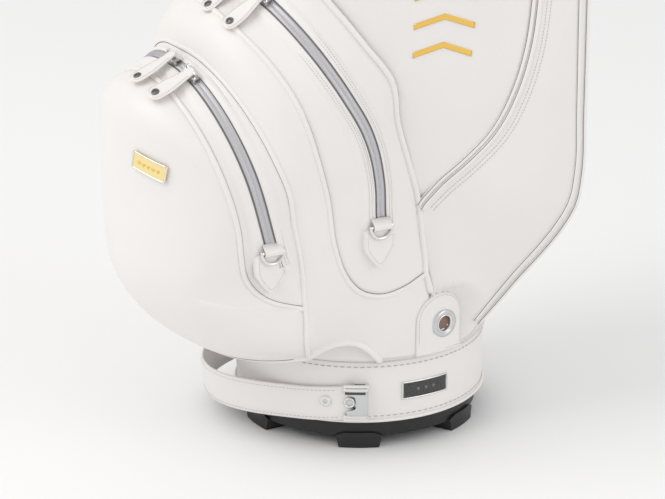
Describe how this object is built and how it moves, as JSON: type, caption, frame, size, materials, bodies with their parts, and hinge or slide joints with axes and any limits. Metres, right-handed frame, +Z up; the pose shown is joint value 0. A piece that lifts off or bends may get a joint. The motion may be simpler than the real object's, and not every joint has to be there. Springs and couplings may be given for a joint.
{
  "type": "golf staff bag",
  "caption": "Upright white leather golf staff bag with zipped ball, cooler, side and upper pockets, a divided top, a lugged foot, D-rings, handles and a shoulder strap.",
  "frame": {"origin": "centre of the foot moulding, on the floor plane", "axes": "+Z up along the bag, -Y to the front where the ball pocket is, +X to the side seen at the right from the front"},
  "size_m": [0.352, 0.512, 0.89],
  "materials": {
    "black_moulding": "satin black injection moulding",
    "liner_plastic": "matt dark grey sheet plastic",
    "divider_cloth": "short dark grey fleece",
    "white_leather": "soft satin white synthetic leather with a fine grain",
    "pull_leather": "satin white leather with a cut edge",
    "zip_grey": "silver-grey woven tape with metal teeth",
    "chrome": "polished chrome plate",
    "gold_plate": "polished gold plate with a satin field",
    "dark_plate": "black enamel with a bright edge"
  },
  "bodies": {
    "bag": {"foot_moulding": "black_moulding", "base_pan": "black_moulding", "collar_band": "white_leather", "collar_plate": "dark_plate", "base_strap": "white_leather", "strap_eyelets": "chrome", "strap_clasp": "chrome", "grommet_tab": "white_leather", "grommet_ring": "chrome", "body_liner": "liner_plastic", "body_shell": "white_leather", "spine_strip": "white_leather", "divider_panels": "divider_cloth", "top_moulding": "black_moulding", "cuff_band": "white_leather", "lift_handle": "black_moulding", "carry_handle": "white_leather", "ball_pocket_front": "white_leather", "ball_pocket_gusset": "white_leather", "ball_zip": "zip_grey", "ball_tab_r": "white_leather", "ball_tab_l": "white_leather", "badge_plate": "gold_plate", "cooler_pocket_front": "white_leather", "cooler_pocket_gusset": "white_leather", "cooler_zip": "zip_grey", "cooler_tab_r": "white_leather", "cooler_tab_l": "white_leather", "side_pocket_r": "white_leather", "side_pocket_l": "white_leather", "side_zip_r": "zip_grey", "side_zip_l": "zip_grey", "upper_pocket": "white_leather", "upper_zip": "zip_grey", "strap_anchors": "chrome", "towel_tab": "white_leather", "umbrella_loop": "white_leather"},
    "ball_slider_r": {"ball_slider_r": "chrome"},
    "ball_slider_l": {"ball_slider_l": "chrome"},
    "ball_pull_r": {"ball_pull_r": "pull_leather"},
    "ball_pull_l": {"ball_pull_l": "pull_leather"},
    "ball_ring_r": {"ball_ring_r": "chrome"},
    "ball_ring_l": {"ball_ring_l": "chrome"},
    "cooler_slider_r": {"cooler_slider_r": "chrome"},
    "cooler_slider_l": {"cooler_slider_l": "chrome"},
    "cooler_pull_r": {"cooler_pull_r": "pull_leather"},
    "cooler_pull_l": {"cooler_pull_l": "pull_leather"},
    "cooler_ring_r": {"cooler_ring_r": "chrome"},
    "cooler_ring_l": {"cooler_ring_l": "chrome"},
    "side_slider_r": {"side_slider_r": "chrome"},
    "side_slider_l": {"side_slider_l": "chrome"},
    "side_pull_r": {"side_pull_r": "pull_leather"},
    "side_pull_l": {"side_pull_l": "pull_leather"},
    "upper_slider": {"upper_slider": "chrome"},
    "upper_pull": {"upper_pull": "pull_leather"},
    "towel_ring": {"towel_ring": "chrome"},
    "strap": {"shoulder_strap": "white_leather", "strap_pad": "white_leather"}
  },
  "joints": [
    {"name": "ball_slider_r_run", "type": "hinge", "parent": "bag", "child": "ball_slider_r", "pos_m": [0, -0.168, 0.264], "axis": [0, 0.9636, 0.2672], "range_deg": [0, 66]},
    {"name": "ball_pull_r_lift", "type": "hinge", "parent": "ball_slider_r", "child": "ball_pull_r", "pos_m": [0.04585, -0.19833, 0.37336], "axis": [-0.9272, -0.1001, 0.361], "range_deg": [0, 95]},
    {"name": "ball_slider_l_run", "type": "hinge", "parent": "bag", "child": "ball_slider_l", "pos_m": [0, -0.168, 0.264], "axis": [0, 0.9636, 0.2672], "range_deg": [-94, 0]},
    {"name": "ball_pull_l_lift", "type": "hinge", "parent": "ball_slider_l", "child": "ball_pull_l", "pos_m": [0.01279, -0.20053, 0.3813], "axis": [-0.9945, -0.0279, 0.1007], "range_deg": [0, 95]},
    {"name": "cooler_slider_r_run", "type": "hinge", "parent": "bag", "child": "cooler_slider_r", "pos_m": [0, -0.072, 0.322], "axis": [0, 0.8829, 0.4695], "range_deg": [0, 64]},
    {"name": "cooler_pull_r_lift", "type": "hinge", "parent": "cooler_slider_r", "child": "cooler_pull_r", "pos_m": [0.05873, -0.13393, 0.43848], "axis": [-0.9135, -0.191, 0.3591], "range_deg": [0, 95]},
    {"name": "cooler_slider_l_run", "type": "hinge", "parent": "bag", "child": "cooler_slider_l", "pos_m": [0, -0.072, 0.322], "axis": [0, 0.8829, 0.4695], "range_deg": [-98, 0]},
    {"name": "cooler_pull_l_lift", "type": "hinge", "parent": "cooler_slider_l", "child": "cooler_pull_l", "pos_m": [0.02508, -0.13876, 0.44756], "axis": [-0.9848, -0.0815, 0.1533], "range_deg": [0, 95]},
    {"name": "ball_ring_r_swing", "type": "hinge", "parent": "bag", "child": "ball_ring_r", "pos_m": [0.1187, -0.157, 0.218], "axis": [0, -1, 0], "range_deg": [0, 120]},
    {"name": "cooler_ring_r_swing", "type": "hinge", "parent": "bag", "child": "cooler_ring_r", "pos_m": [0.1407, -0.058, 0.232], "axis": [0, -1, 0], "range_deg": [0, 120]},
    {"name": "side_slider_r_run", "type": "slide", "parent": "bag", "child": "side_slider_r", "axis": [0, 0, 1], "range_m": [-0.3, 0]},
    {"name": "side_pull_r_lift", "type": "hinge", "parent": "side_slider_r", "child": "side_pull_r", "pos_m": [0.126, 0.1464, 0.622], "axis": [1, 0, 0], "range_deg": [0, 110]},
    {"name": "ball_ring_l_swing", "type": "hinge", "parent": "bag", "child": "ball_ring_l", "pos_m": [-0.1187, -0.157, 0.218], "axis": [0, 1, 0], "range_deg": [0, 120]},
    {"name": "cooler_ring_l_swing", "type": "hinge", "parent": "bag", "child": "cooler_ring_l", "pos_m": [-0.1407, -0.058, 0.232], "axis": [0, 1, 0], "range_deg": [0, 120]},
    {"name": "side_slider_l_run", "type": "slide", "parent": "bag", "child": "side_slider_l", "axis": [0, 0, 1], "range_m": [-0.3, 0]},
    {"name": "side_pull_l_lift", "type": "hinge", "parent": "side_slider_l", "child": "side_pull_l", "pos_m": [-0.126, 0.1464, 0.622], "axis": [1, 0, 0], "range_deg": [0, 110]},
    {"name": "upper_slider_run", "type": "hinge", "parent": "bag", "child": "upper_slider", "pos_m": [0, -0.163, 0.59], "axis": [0, 1, 0], "range_deg": [-78, 78]},
    {"name": "upper_pull_swing", "type": "hinge", "parent": "upper_slider", "child": "upper_pull", "pos_m": [0, -0.171, 0.634], "axis": [0, 1, 0], "range_deg": [-75, 75]},
    {"name": "towel_ring_swing", "type": "hinge", "parent": "bag", "child": "towel_ring", "pos_m": [-0.11812, -0.04299, 0.776], "axis": [-0.342, 0.9397, 0], "range_deg": [0, 110]},
    {"name": "strap_swing", "type": "hinge", "parent": "bag", "child": "strap", "pos_m": [0, 0.142, 0.555], "axis": [0, 0, 1], "range_deg": [-35, 35]}
  ]
}
